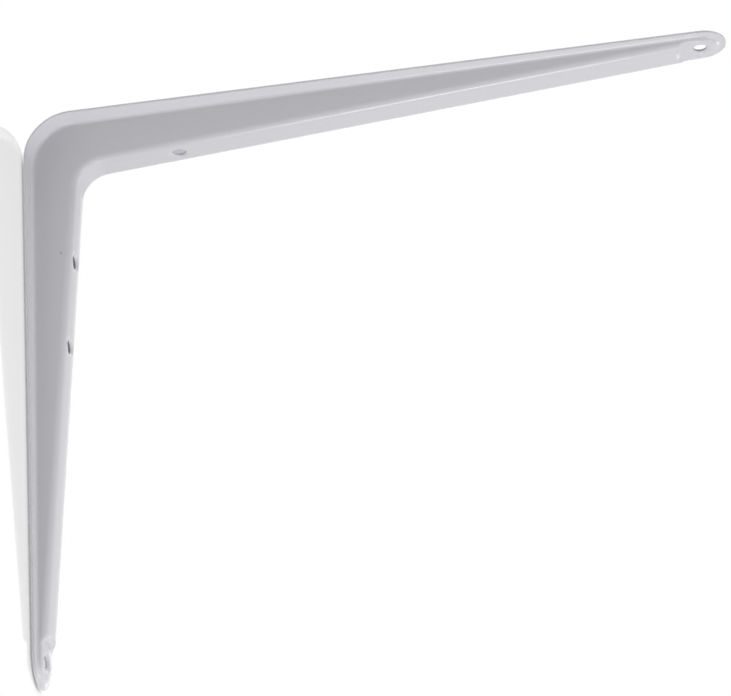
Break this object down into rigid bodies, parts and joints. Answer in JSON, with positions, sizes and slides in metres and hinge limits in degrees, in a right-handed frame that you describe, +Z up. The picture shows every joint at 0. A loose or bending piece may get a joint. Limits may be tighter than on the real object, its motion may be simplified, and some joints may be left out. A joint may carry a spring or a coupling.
{
  "type": "shelf bracket",
  "caption": "White painted L-shaped shelf bracket pressed from sheet steel, with a tapering hollow rib along both arms, rounded tips and sunk screw holes.",
  "frame": {"origin": "where the wall plane meets the plane of the shelf's underside, on the bracket's mid-plane", "axes": "+Z up, out of the shelf arm's mounting face; +X away from the wall along the shelf arm; +Y across the bracket"},
  "size_m": [0.3, 0.0392, 0.25],
  "materials": {
    "white_paint": "satin"
  },
  "bodies": {
    "root": {"shelf_bracket": "white_paint"}
  },
  "joints": []
}
